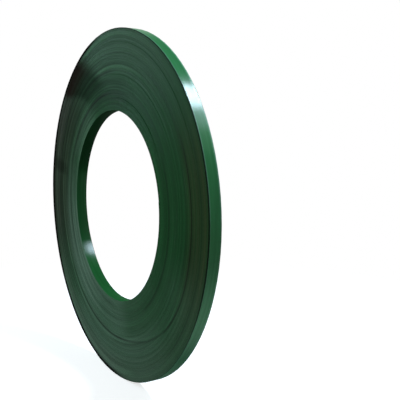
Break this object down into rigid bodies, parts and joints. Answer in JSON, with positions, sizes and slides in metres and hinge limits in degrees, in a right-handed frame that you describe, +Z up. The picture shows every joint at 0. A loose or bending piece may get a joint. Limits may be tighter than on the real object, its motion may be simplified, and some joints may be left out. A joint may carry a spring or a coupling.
{
  "type": "roll of steel strapping",
  "caption": "Ribbon-wound roll of green painted steel strapping, one strap wide, with a round bore for a dispenser hub.",
  "frame": {"origin": "on the floor under the middle of the roll", "axes": "+Z up, with the bore along Y and the end that the picture shows facing -Y"},
  "size_m": [0.7423, 0.0264, 0.7424],
  "materials": {
    "green_painted_steel": "gloss"
  },
  "bodies": {
    "root": {"strap_coil": "green_painted_steel"}
  },
  "joints": []
}
